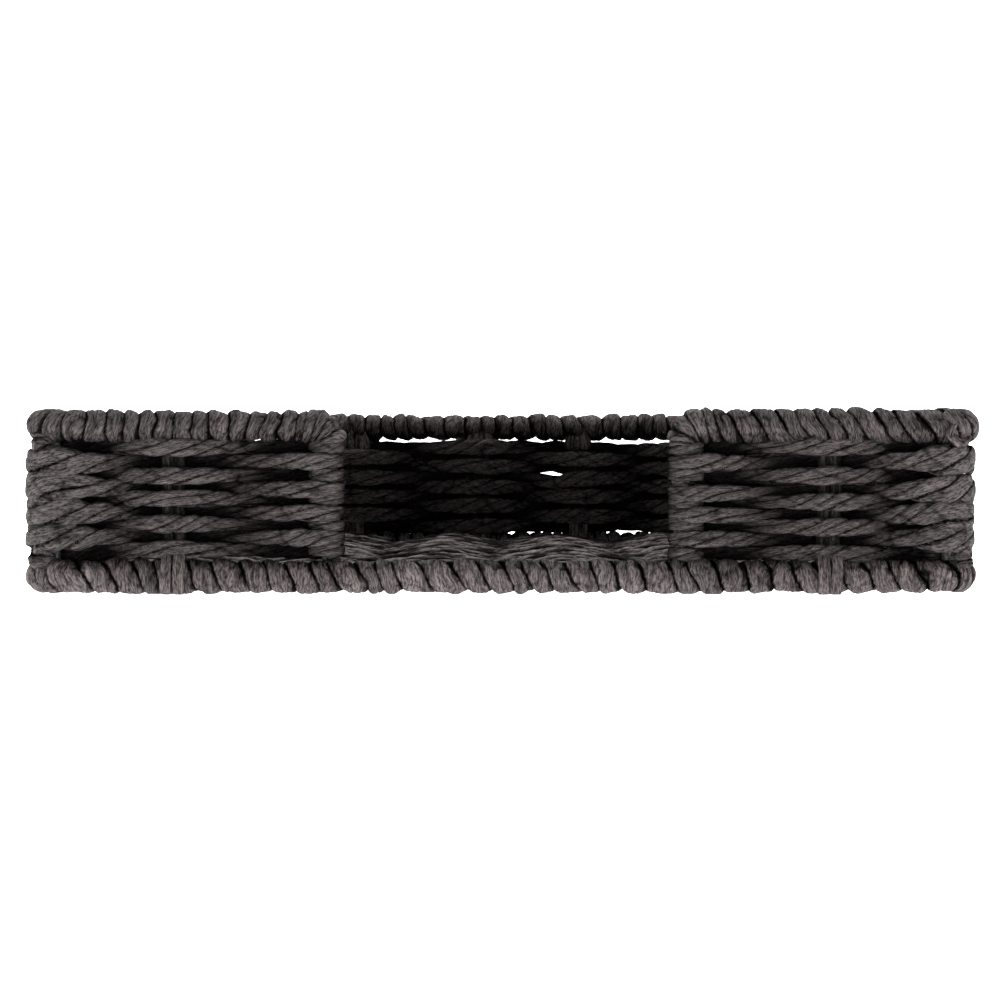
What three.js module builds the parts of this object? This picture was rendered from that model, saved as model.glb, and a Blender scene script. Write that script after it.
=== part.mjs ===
// Woven paper-rope tray for a stack of square napkins.
//
// Two steel rims, wound with paper strip, are held apart by corner posts. Flat paper stakes stand between
// them, and nine rows of rope are woven round the stakes as the wall. The top rim is open at the front: its
// two ends turn down and become the posts of the gap where a hand takes the napkins. The floor is rope,
// woven to and fro across six flat stakes.
//
// Millimetres. +Z is up, the front is at -Y, and the origin is the middle of the underside.
import * as THREE from "three";

// ---- Driving dimensions ----
const OUTER_HALF = 99.5; // half the size over the rims; the rope stands out a little further
const HEIGHT = 38;
const CLEARANCE = 0.3; // between pieces that touch

const WIRE_RADIUS = 1.4;
const RIM_RADIUS = 3; // over the paper strip
const BOTTOM_RIM_LIFT = 0.7; // the rim hangs this far above the floor weave's lowest points
const RIM_CORNER = 9; // plan radius of the rims' corners, on the wire

const GAP_LEFT = -35.4; // posts of the hand gap
const GAP_RIGHT = 37.5;
const POST_BEND = 4; // radius where a rim end turns down

const WALL_HALF = 95.6; // the plane that the wall stakes stand in
const WALL_CORNER = 7;
const CORNER_POST_INSET = 0.25;
const STAKE = { width: 5, thickness: 2.2 }; // two strands side by side
const FRONT_STAKES = [-68.2, 68.2];
const BACK_STAKES = [-70, -38.7, -5.5, 20.5, 48, 73]; // spaced by hand, so not quite evenly
const LEFT_STAKES = 6;
const RIGHT_STAKES = 5; // one fewer: over-and-under weaving needs an odd number of crossings in all

const WALL_ROWS = 9;
const TOP_ROW = 29.7; // height of the highest row's middle
const WALL_PITCH = 2.58;
const WALL_ROPE = { height: 2.2, thickness: 2.6 };
const SWING = 3; // how far a row passes in front of or behind the stakes
const STAKE_GRIP = 2.8; // half the length that a row runs flat against a stake

const FLOOR_STAKE_PITCH = 27.3;
const FLOOR_STAKES = 6;
const FLOOR_ROPES = 5;
const ROWS_PER_ROPE = 10;
const FLOOR_PITCH = 3.72;
const FLOOR_ROPE = { height: 2.2, width: 3.3 };
const FLOOR_TURN = 90.9; // where a floor rope turns back, beside the rim
const FLOOR_CORNER_ROOM = 3; // how much sooner it turns in the rim's corners

// ---- Worked out from those ----
const RIM_HALF = OUTER_HALF - RIM_RADIUS;
const TOP_RIM_Z = HEIGHT - RIM_RADIUS;
const BOTTOM_RIM_Z = BOTTOM_RIM_LIFT + RIM_RADIUS;
const STAKE_FOOT = BOTTOM_RIM_Z + RIM_RADIUS + CLEARANCE;
const STAKE_HEAD = TOP_RIM_Z - RIM_RADIUS - CLEARANCE;
const FLOOR_SWING = (FLOOR_ROPE.height + STAKE.thickness) / 2 + CLEARANCE;
const FLOOR_MIDDLE = FLOOR_ROPE.height / 2 + FLOOR_SWING;
const FLOOR_STAKE_END = RIM_HALF - RIM_RADIUS - CLEARANCE;

// ---- Materials ----
const paper = (color) => new THREE.MeshStandardMaterial({ color, roughness: 0.85, metalness: 0 });
const ropePaper = paper(0x4a4543);
const stripPaper = paper(0x575150);
const stakePaper = paper(0x423d3c);
const steel = new THREE.MeshStandardMaterial({ color: 0x3a3a3c, roughness: 0.45, metalness: 0.9 });

// ---- Sections ----
const polygon = (points) => new THREE.Shape(points.map(([x, y]) => new THREE.Vector2(x, y)));

// A regular polygon whose flats, not its corners, reach the given half sizes.
function roundSection(halfHeight, halfWidth, sides) {
  const reach = 1 / Math.cos(Math.PI / sides);
  const points = [];
  for (let i = 0; i < sides; i++) {
    const angle = ((i + 0.5) * 2 * Math.PI) / sides;
    points.push([halfHeight * reach * Math.cos(angle), halfWidth * reach * Math.sin(angle)]);
  }
  return polygon(points);
}

// A tube's section: the paper strip round a wire.
function wrapSection() {
  const section = roundSection(RIM_RADIUS, RIM_RADIUS, 8);
  section.holes.push(roundSection(WIRE_RADIUS + CLEARANCE, WIRE_RADIUS + CLEARANCE, 8));
  return section;
}

// Two flat strands side by side, with the crease between them. x is thickness, y is width.
function stakeSection() {
  const t = STAKE.thickness / 2;
  const w = STAKE.width / 2;
  const quarter = [[t * 0.6, 0], [t, w * 0.25], [t, w * 0.75], [t * 0.5, w]];
  const halfRound = [...quarter, ...quarter.slice(1).reverse().map(([x, y]) => [-x, y]), [-t * 0.6, 0]];
  const otherHalf = halfRound.slice(1, -1).reverse().map(([x, y]) => [x, -y]);
  return polygon([...halfRound, ...otherHalf]);
}

// ---- Routes ----
// A line through the given points, with mitred bends, for ExtrudeGeometry to carry a section along.
// The section's x stays as near to up as the route's heading allows.
class Route extends THREE.Curve {
  constructor(points, up = new THREE.Vector3(0, 0, 1)) {
    super();
    this.points = points;
    this.up = up;
  }

  getPoint(t) {
    const place = t * (this.points.length - 1);
    const i = Math.min(Math.floor(place), this.points.length - 2);
    return this.points[i].clone().lerp(this.points[i + 1], place - i);
  }

  getSpacedPoints() {
    return this.points;
  }

  computeFrenetFrames() {
    const frames = { tangents: [], normals: [], binormals: [] };
    const headings = this.points.slice(1).map((p, i) => p.clone().sub(this.points[i]).normalize());
    this.points.forEach((_, i) => {
      const before = headings[Math.max(i - 1, 0)];
      const after = headings[Math.min(i, headings.length - 1)];
      const along = before.clone().add(after).normalize();
      const up = this.up.clone().addScaledVector(before, -this.up.dot(before)).normalize();
      const mitre = (v) => v.clone().addScaledVector(before, -v.dot(along) / before.dot(along));
      frames.tangents.push(along);
      frames.normals.push(mitre(up));
      frames.binormals.push(mitre(before.clone().cross(up)));
    });
    return frames;
  }
}

function sweep(section, points, up) {
  return new THREE.ExtrudeGeometry(section, {
    steps: points.length - 1,
    extrudePath: new Route(points, up),
  });
}

// A rounded square in plan, as a closed outline that a distance s runs along: from the middle of the front,
// to the left, and so round the back and the right side. out is the direction away from the centre.
class Square {
  constructor(half, corner) {
    Object.assign(this, { half, corner });
    this.flat = half - corner;
    this.arc = (Math.PI / 2) * corner;
    this.side = 2 * this.flat + this.arc; // from the middle of one side to the middle of the next
    this.length = 4 * this.side;
  }

  at(s, z, offset = 0) {
    const sides = Math.floor(s / this.side);
    const u = s - sides * this.side;
    const angle = THREE.MathUtils.clamp((u - this.flat) / this.corner, 0, Math.PI / 2);
    const out = new THREE.Vector2(-Math.sin(angle), -Math.cos(angle));
    const before = Math.min(u, this.flat);
    const past = Math.max(u - this.flat - this.arc, 0);
    const point = new THREE.Vector2(-before, past - this.flat).addScaledVector(out, this.corner + offset);
    point.rotateAround(new THREE.Vector2(), (-Math.PI / 2) * sides);
    return new THREE.Vector3(point.x, point.y, z);
  }

  // Distances to a place on the front, the left, the back and the right side.
  front = (x) => (x < 0 ? -x : this.length - x);
  left = (y) => this.side + y;
  back = (x) => 2 * this.side + x;
  right = (y) => 3 * this.side - y;
  cornerMiddle = (index) => (index + 0.5) * this.side;

  // Points from s0 to s1: the two ends, and a few on each corner between them.
  run(s0, s1, z, bends = 4) {
    const stops = [s0];
    for (let index = 0; index < 4; index++) {
      for (let i = 0; i <= bends; i++) {
        const s = this.cornerMiddle(index) + (i / bends - 0.5) * this.arc;
        if (s > s0 && s < s1) stops.push(s);
      }
    }
    stops.push(s1);
    return stops.map((s) => this.at(s, z));
  }
}

const rim = new Square(RIM_HALF, RIM_CORNER);
const wall = new Square(WALL_HALF, WALL_CORNER);

const tray = new THREE.Group();

function addPiece(group, name, geometry, material) {
  const mesh = new THREE.Mesh(geometry, material);
  mesh.name = name;
  group.add(mesh);
}

// ---- Wire frame ----
// The closed bottom ring is an outline with a bevel all round, which gives the wire its round section.
function bottomRingGeometry() {
  const bevel = WIRE_RADIUS * (1 - Math.tan(Math.PI / 8));
  const outline = (half, corner) =>
    new Square(half, corner).run(0, new Square(half, corner).length, 0).slice(0, -1);
  const core = WIRE_RADIUS - bevel;
  const shape = new THREE.Shape(outline(RIM_HALF + core, RIM_CORNER + core));
  shape.holes.push(new THREE.Path(outline(RIM_HALF - core, RIM_CORNER - core).reverse()));
  const ring = new THREE.ExtrudeGeometry(shape, {
    depth: 2 * core,
    bevelThickness: bevel,
    bevelSize: bevel,
    bevelSegments: 1,
  });
  return ring.translate(0, 0, BOTTOM_RIM_Z - core);
}

// One end of the top rim: it leaves the rim sideways, bends down and stands on the bottom rim.
function gapPost(x, towardsGap) {
  const points = [new THREE.Vector3(x, -WALL_HALF, STAKE_FOOT)];
  const straightTop = TOP_RIM_Z - POST_BEND;
  const lean = RIM_HALF - WALL_HALF;
  for (let i = 0; i <= 3; i++) {
    const angle = (i / 3) * (Math.PI / 2);
    const side = POST_BEND * (1 - Math.cos(angle)) * -towardsGap;
    const share = i / 3;
    const z = straightTop + POST_BEND * Math.sin(angle);
    points.push(new THREE.Vector3(x + side, -WALL_HALF - lean * share, z));
  }
  return points;
}

function topRimWirePoints() {
  const leftEnd = gapPost(GAP_LEFT, 1);
  const rightEnd = gapPost(GAP_RIGHT, -1).reverse();
  const from = rim.front(GAP_LEFT - POST_BEND);
  const to = rim.front(GAP_RIGHT + POST_BEND);
  return [...leftEnd, ...rim.run(from, to, TOP_RIM_Z).slice(1, -1), ...rightEnd];
}

function addWireFrame() {
  const frame = new THREE.Group();
  addPiece(frame, "bottom_rim_wire", bottomRingGeometry(), steel);
  const wire = roundSection(WIRE_RADIUS, WIRE_RADIUS, 8);
  const skew = new THREE.Vector3(0.4, -0.2, 1); // along none of the wire's headings
  addPiece(frame, "top_rim_wire", sweep(wire, topRimWirePoints(), skew), steel);
  ["front_left", "back_left", "back_right", "front_right"].forEach((corner, index) => {
    const s = wall.cornerMiddle(index);
    const points = [STAKE_FOOT, STAKE_HEAD].map((z) => wall.at(s, z, -CORNER_POST_INSET));
    addPiece(frame, `corner_post_${corner}`, sweep(wire, points, new THREE.Vector3(1, 0, 0)), steel);
  });
  tray.add(frame);
}

// ---- Paper strip on the rims ----
function addRimWraps() {
  const wraps = new THREE.Group();
  const bendRoom = POST_BEND + WIRE_RADIUS + CLEARANCE;
  const top = rim.run(rim.front(GAP_LEFT - bendRoom), rim.front(GAP_RIGHT + bendRoom), TOP_RIM_Z);
  addPiece(wraps, "top_rim_wrap", sweep(wrapSection(), top), stripPaper);
  const join = 2 * rim.side; // the strip's two ends meet in the middle of the back
  const roundTheBack = [
    ...rim.run(join + CLEARANCE, rim.length, BOTTOM_RIM_Z).slice(0, -1),
    ...rim.run(0, join - CLEARANCE, BOTTOM_RIM_Z).slice(1),
  ];
  addPiece(wraps, "bottom_rim_wrap", sweep(wrapSection(), roundTheBack), stripPaper);
  tray.add(wraps);
}

// ---- Stakes ----
// Evenly spaced places between two corner posts.
function evenly(count) {
  const reach = WALL_HALF - WALL_CORNER * (1 - Math.SQRT1_2);
  return Array.from({ length: count }, (_, i) => reach * ((2 * (i + 1)) / (count + 1) - 1));
}

const stakesBySide = {
  front: FRONT_STAKES.map((x) => wall.front(x)),
  left: evenly(LEFT_STAKES).map((y) => wall.left(y)),
  back: BACK_STAKES.map((x) => wall.back(x)),
  right: evenly(RIGHT_STAKES).map((y) => wall.right(y)),
};

function addWallStakes() {
  const stakes = new THREE.Group();
  for (const [side, places] of Object.entries(stakesBySide)) {
    places.forEach((s, i) => {
      const points = [wall.at(s, STAKE_FOOT), wall.at(s, STAKE_HEAD)];
      const out = wall.at(s, 0, 1).sub(wall.at(s, 0));
      addPiece(stakes, `${side}_stake_${i + 1}`, sweep(stakeSection(), points, out), stakePaper);
    });
  }
  tray.add(stakes);
}

const floorStakePlace = (i) => (i - (FLOOR_STAKES - 1) / 2) * FLOOR_STAKE_PITCH;

function addFloorStakes() {
  const stakes = new THREE.Group();
  for (let i = 0; i < FLOOR_STAKES; i++) {
    const x = floorStakePlace(i);
    const ends = [-FLOOR_STAKE_END, FLOOR_STAKE_END].map((y) => new THREE.Vector3(x, y, FLOOR_MIDDLE));
    addPiece(stakes, `floor_stake_${i + 1}`, sweep(stakeSection(), ends), stakePaper);
  }
  tray.add(stakes);
}

// ---- Weaving ----
// Everything that a wall row crosses, in order from the left post of the hand gap round to the right one.
// grip is half the length that the row runs flat there.
function wallCrossings() {
  const stake = (s) => ({ s, grip: STAKE_GRIP, stops: 1 });
  const corner = (index) => ({ s: wall.cornerMiddle(index), grip: wall.arc / 2, stops: 3 });
  const post = (x) => ({ s: wall.front(x), grip: WIRE_RADIUS, stops: 1 });
  return [
    post(GAP_LEFT),
    stake(stakesBySide.front[0]),
    corner(0),
    ...stakesBySide.left.map(stake),
    corner(1),
    ...stakesBySide.back.map(stake),
    corner(2),
    ...stakesBySide.right.toReversed().map(stake),
    corner(3),
    stake(stakesBySide.front[1]),
    post(GAP_RIGHT),
  ];
}

// A row passes in front of one stake and behind the next; rows take turns at starting in front.
function wallRowPoints(row) {
  const z = TOP_ROW - row * WALL_PITCH;
  return wallCrossings().flatMap(({ s, grip, stops }, i) => {
    const offset = (i + row) % 2 ? SWING : -SWING;
    const points = [];
    for (let k = 0; k <= stops; k++) points.push(wall.at(s + grip * ((2 * k) / stops - 1), z, offset));
    return points;
  });
}

function addWallWeavers() {
  const weavers = new THREE.Group();
  const section = roundSection(WALL_ROPE.height / 2, WALL_ROPE.thickness / 2, 6);
  for (let row = 0; row < WALL_ROWS; row++) {
    addPiece(weavers, `wall_weaver_${row + 1}`, sweep(section, wallRowPoints(row)), ropePaper);
  }
  tray.add(weavers);
}

// How far from the middle a floor rope turns from a row to the next one.
function floorTurn(row) {
  const inCorner = row < 1 || row > FLOOR_ROPES * ROWS_PER_ROPE - 3;
  return inCorner ? FLOOR_TURN - FLOOR_CORNER_ROOM : FLOOR_TURN;
}

// One floor rope goes to and fro, over one stake and under the next, and turns back beside the rim.
function floorRopePoints(rope) {
  const points = [];
  for (let i = 0; i < ROWS_PER_ROPE; i++) {
    const row = rope * ROWS_PER_ROPE + i;
    const y = (row - (FLOOR_ROPES * ROWS_PER_ROPE - 1) / 2) * FLOOR_PITCH;
    const heading = row % 2 ? -1 : 1;
    points.push(new THREE.Vector3(-heading * floorTurn(row - 1), y, FLOOR_MIDDLE));
    for (let k = 0; k < FLOOR_STAKES; k++) {
      const stake = heading > 0 ? k : FLOOR_STAKES - 1 - k;
      const z = FLOOR_MIDDLE + ((stake + row) % 2 ? FLOOR_SWING : -FLOOR_SWING);
      for (const side of [-heading, heading]) {
        points.push(new THREE.Vector3(floorStakePlace(stake) + side * STAKE_GRIP, y, z));
      }
    }
    points.push(new THREE.Vector3(heading * floorTurn(row), y, FLOOR_MIDDLE));
  }
  return points;
}

function addFloorWeavers() {
  const weavers = new THREE.Group();
  const section = roundSection(FLOOR_ROPE.height / 2, FLOOR_ROPE.width / 2, 4);
  for (let rope = 0; rope < FLOOR_ROPES; rope++) {
    addPiece(weavers, `floor_weaver_${rope + 1}`, sweep(section, floorRopePoints(rope)), ropePaper);
  }
  tray.add(weavers);
}

addWireFrame();
addRimWraps();
addWallStakes();
addFloorStakes();
addWallWeavers();
addFloorWeavers();

export default tray;
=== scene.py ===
"""Looks of a woven paper-rope napkin tray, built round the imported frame.

Every rope, stake and rim winding is a mesh of its own, made by carrying a section along a line. Lengths
here are millimetres, and MM turns them into Blender's metres. A line is an array with one row for each
point: x, y, z, and the half height and half width of the section there.
"""

import math

import bpy
import numpy as np
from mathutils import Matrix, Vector


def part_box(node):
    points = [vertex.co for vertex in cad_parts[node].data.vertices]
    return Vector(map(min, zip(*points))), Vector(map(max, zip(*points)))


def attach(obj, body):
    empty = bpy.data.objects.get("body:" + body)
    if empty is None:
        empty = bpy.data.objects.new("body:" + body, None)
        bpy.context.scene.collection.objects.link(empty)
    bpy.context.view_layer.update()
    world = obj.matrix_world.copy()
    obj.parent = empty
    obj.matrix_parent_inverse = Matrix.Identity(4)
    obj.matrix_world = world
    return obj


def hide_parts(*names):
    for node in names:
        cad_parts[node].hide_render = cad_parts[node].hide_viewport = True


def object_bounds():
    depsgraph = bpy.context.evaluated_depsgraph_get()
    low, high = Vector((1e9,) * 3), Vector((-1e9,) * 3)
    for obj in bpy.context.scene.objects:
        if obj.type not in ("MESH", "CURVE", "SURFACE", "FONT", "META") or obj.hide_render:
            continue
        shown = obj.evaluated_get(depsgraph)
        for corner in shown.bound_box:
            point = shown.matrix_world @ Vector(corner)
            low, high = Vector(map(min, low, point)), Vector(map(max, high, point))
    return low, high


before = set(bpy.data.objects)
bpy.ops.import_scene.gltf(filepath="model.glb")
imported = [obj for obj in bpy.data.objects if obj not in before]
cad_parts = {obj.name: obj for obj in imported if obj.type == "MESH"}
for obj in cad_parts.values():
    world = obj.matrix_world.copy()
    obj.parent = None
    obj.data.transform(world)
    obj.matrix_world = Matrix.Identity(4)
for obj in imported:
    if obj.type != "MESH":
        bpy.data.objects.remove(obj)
CAD_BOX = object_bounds()

MM = 0.001
UP = np.array([0.0, 0.0, 1.0])
TURN = 2 * math.pi
PATTERN_SIZE = 500


# ---------------------------------------------------------------- places, from the frame
def box_mm(node):
    low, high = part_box(node)
    return np.array(low) / MM, np.array(high) / MM


def middle(node):
    low, high = box_mm(node)
    return (low + high) / 2


def rim_of(node):
    """Radius, height and half width of a wound rim's own centreline."""
    low, high = box_mm(node)
    radius = (high[2] - low[2]) / 2
    return radius, (high[2] + low[2]) / 2, (high[0] - low[0]) / 2 - radius


TOP_RADIUS, TOP_Z, TOP_HALF = rim_of("top_rim_wrap")
BOTTOM_RADIUS, BOTTOM_Z, BOTTOM_HALF = rim_of("bottom_rim_wrap")
RIM_CORNER = 9
WALL_HALF = -middle("front_stake_1")[1]
WALL_CORNER = 7
WIRE_RADIUS = (box_mm("corner_post_front_left")[1] - box_mm("corner_post_front_left")[0])[0] / 2
FLOOR_Z = middle("floor_stake_1")[2]


def gap_posts():
    """x of the two posts of the hand gap: the parts of the top rim's wire that stand below the rim."""
    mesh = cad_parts["top_rim_wire"].data
    co = np.array([v.co for v in mesh.vertices]) / MM
    low = co[co[:, 2] < TOP_Z - 2 * TOP_RADIUS]
    return low[low[:, 0] < 0, 0].mean(), low[low[:, 0] > 0, 0].mean()


GAP_LEFT, GAP_RIGHT = gap_posts()
POST_BEND = 4
SIDES = ("front", "left", "back", "right")


def stake_nodes(side):
    return sorted(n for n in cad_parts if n.startswith(side + "_stake_"))


# ---------------------------------------------------------------- rounded squares
class Square:
    """A rounded square in plan. s runs along it from the middle of the front, to the left and round."""

    def __init__(self, half, corner):
        self.half, self.corner = half, corner
        self.flat = half - corner
        self.arc = TURN / 4 * corner
        self.side = 2 * self.flat + self.arc
        self.length = 4 * self.side

    def at(self, s, offset=0.0):
        """x and y of points at distances s, offset outwards."""
        s = np.asarray(s, float) % self.length
        sides = np.floor(s / self.side)
        u = s - sides * self.side
        angle = np.clip((u - self.flat) / self.corner, 0, TURN / 4)
        out = np.stack([-np.sin(angle), -np.cos(angle)], -1)
        start = np.stack([-np.minimum(u, self.flat), np.maximum(u - self.flat - self.arc, 0) - self.flat], -1)
        xy = start + out * (self.corner + np.asarray(offset))[..., None]
        turn = -TURN / 4 * sides
        c, sn = np.cos(turn), np.sin(turn)
        return np.stack([xy[..., 0] * c - xy[..., 1] * sn, xy[..., 0] * sn + xy[..., 1] * c], -1)

    def place(self, side, along):
        """s of a place on a side, whose x or y is given."""
        return {
            "front": -along if along < 0 else self.length - along,
            "left": self.side + along,
            "back": 2 * self.side + along,
            "right": 3 * self.side - along,
        }[side]


top_rim = Square(TOP_HALF, RIM_CORNER)
bottom_rim = Square(BOTTOM_HALF, RIM_CORNER)
wall = Square(WALL_HALF, WALL_CORNER)


# ---------------------------------------------------------------- noise and lines
def wave_noise(rng, s, cell):
    """Smooth noise from -1 to 1 along a line, with a new value every cell millimetres."""
    grid = rng.uniform(-1, 1, int(s.max() / cell) + 3)
    at = s / cell
    i = np.floor(at).astype(int)
    f = at - i
    f = f * f * (3 - 2 * f)
    return grid[i] * (1 - f) + grid[i + 1] * f


def skin_noise(rng, along, around, cells_round):
    """Smooth noise from -1 to 1 on a strand's skin. along is in cells; around runs from 0 to 1 and wraps."""
    along = along - along.min()
    grid = rng.uniform(-1, 1, (int(along.max()) + 2, cells_round))
    i = np.floor(along).astype(int)
    f = along - i
    f = f * f * (3 - 2 * f)
    u = (around % 1.0) * cells_round
    j = np.floor(u).astype(int)
    g = u - j
    g = g * g * (3 - 2 * g)
    a, b = j % cells_round, (j + 1) % cells_round
    here = grid[i, a] * (1 - g) + grid[i, b] * g
    after = grid[i + 1, a] * (1 - g) + grid[i + 1, b] * g
    return here * (1 - f) + after * f


def ridges(rng, along, around, cells_round):
    """The same noise turned into thin ridges, 1 on their crests."""
    return 1 - np.abs(skin_noise(rng, along, around, cells_round))


def paper_place(rng):
    """A random place in the paper's pattern, so that no two strands look alike."""
    return rng.uniform(0, PATTERN_SIZE, 3)


def soften(line, passes):
    """Rounds a line's bends, and leaves its ends where they are."""
    for _ in range(passes):
        line = np.vstack([line[:1], (line[:-2] + 2 * line[1:-1] + line[2:]) / 4, line[-1:]])
    return line


def resample(line, step):
    """The line with evenly spaced points, and how far along it each of them is."""
    leg = np.linalg.norm(np.diff(line[:, :3], axis=0), axis=1)
    at = np.concatenate([[0], np.cumsum(leg)])
    s = np.linspace(0, at[-1], max(int(round(at[-1] / step)), 4) + 1)
    return np.stack([np.interp(s, at, column) for column in line.T], 1), s


def unit(v):
    return v / np.maximum(np.linalg.norm(v, axis=-1, keepdims=True), 1e-12)


# ---------------------------------------------------------------- meshes
def skin(name, points, side, up, x, y, lay, seam, shade, material, replaces=()):
    """A closed strand: rings of points at offsets x, y from a line, joined up and capped.

    lay holds each point's place on the paper, along its fibres and across them. seam is 0 where one ply
    or turn meets the next and 1 midway, and shade is how much light a point loses, in a crease or behind
    other strands, from 0 to 1. The material reads all three.
    """
    rings, around = x.shape
    co = points[:, None] + x[..., None] * side[:, None] + y[..., None] * up[:, None]
    co = np.vstack([co.reshape(-1, 3), co[0].mean(0), co[-1].mean(0)]) * MM
    a = np.arange(rings - 1)[:, None] * around + np.arange(around)
    b = np.arange(rings - 1)[:, None] * around + (np.arange(around) + 1) % around
    quads = np.stack([a, a + around, b + around, b], -1).reshape(-1, 4)
    first, last = rings * around, rings * around + 1
    ring = np.arange(around)
    after = (ring + 1) % around
    end = first - around
    cap0 = np.stack([np.full(around, first), ring, after], -1)
    cap1 = np.stack([np.full(around, last), end + after, end + ring], -1)
    corners = np.concatenate([quads.ravel(), cap0.ravel(), cap1.ravel()])
    sizes = np.concatenate([np.full(len(quads), 4), np.full(2 * around, 3)])

    mesh = bpy.data.meshes.new(name)
    mesh.vertices.add(len(co))
    mesh.vertices.foreach_set("co", co.ravel())
    mesh.loops.add(len(corners))
    mesh.loops.foreach_set("vertex_index", corners.astype(np.int32))
    mesh.polygons.add(len(sizes))
    starts = np.concatenate([[0], np.cumsum(sizes)[:-1]])
    mesh.polygons.foreach_set("loop_start", starts.astype(np.int32))
    mesh.polygons.foreach_set("use_smooth", np.ones(len(sizes), bool))
    mesh.update(calc_edges=True)
    mesh.validate()
    lay = np.vstack([lay.reshape(-1, 3), lay[0, 0], lay[-1, 0]]).astype(np.float32)
    mesh.attributes.new("lay", "FLOAT_VECTOR", "POINT").data.foreach_set("vector", lay.ravel())
    for key, values in (("seam", seam), ("shade", shade)):
        values = np.concatenate([values.ravel(), [0.5, 0.5]]).astype(np.float32)
        mesh.attributes.new(key, "FLOAT", "POINT").data.foreach_set("value", values)
    mesh.materials.append(material)

    piece = bpy.data.objects.new(name, mesh)
    bpy.context.scene.collection.objects.link(piece)
    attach(piece, "root")
    for node in replaces:
        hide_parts(node)
    return piece


def section_frame(points, up):
    """Sideways and upward directions across a line."""
    tangent = unit(np.gradient(points, axis=0))
    side = unit(np.cross(tangent, np.broadcast_to(up, points.shape)))
    return side, np.cross(side, tangent)


def taper(s, ends=1.2):
    """From 0 to 1 over the last part of each end, so that a strand closes with a rounded tip."""
    near = np.minimum(s, s[-1] - s) / ends
    return np.sqrt(np.clip(1 - (1 - np.clip(near, 0, 1)) ** 2, 0.02, 1))


def squarish(cos, sin, power):
    """How much further out than a circle's the points of a section with flattened sides lie."""
    return (np.abs(cos) ** power + np.abs(sin) ** power) ** (-1 / power)


PLIES = 3
ROPE_LAY = 20.0  # length of rope in which each ply goes once round
ROPE_SQUARENESS = 2.7
SEAM_WIDTH = 0.07  # as a share of a ply's width
SEAM_DEPTH = 0.15  # this and those below as shares of the rope's thickness
PLY_CROWN = 0.24
LAP = 0.09
FOLD_DEPTH, CREASE_DEPTH, CROSS_DEPTH = 0.07, 0.05, 0.06
FACE_CLIMB = 0.65  # how evenly the plies climb the rope's broad faces


def ply_angle(theta):
    """The angle of a point of a flattened rope's skin, made to grow evenly with height on its broad faces."""
    t = (theta + math.pi / 2) % TURN - math.pi / 2
    climb = math.pi / 2 * np.sin(t)
    return (1 - FACE_CLIMB) * t + FACE_CLIMB * np.where(t < math.pi / 2, climb, math.pi - climb)


def inner_shade(line, side, x):
    """How much of the light a point of the wall loses by lying behind its outer face, from 0 to 1."""
    place = line[:, None, :2] + x[..., None] * side[:, None, :2]
    beyond = np.maximum(np.abs(place) - (WALL_HALF - WALL_CORNER), 0)
    depth = WALL_CORNER - np.linalg.norm(beyond, axis=-1)
    return np.clip((depth + 2.85) / 2.3, 0, 1) * (1 - 0.8 * np.clip((depth - 1.2) / 1.6, 0, 1))


def floor_shade(line, upward, y):
    """The same for a point of the floor: darkest half way through it, down a rope's sides, and far in."""
    z = line[:, None, 2] + y * upward[:, 2:3]
    sunk = 1 - np.clip((np.abs(z - FLOOR_Z) - 0.7) / 2.2, 0, 1)
    far = 0.45 * np.clip((line[:, 1:2] - 10) / 70, 0, 1)
    return np.maximum(sunk, np.clip(1.15 - np.abs(y) / line[:, 3:4], 0, 1)) + far


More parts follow.
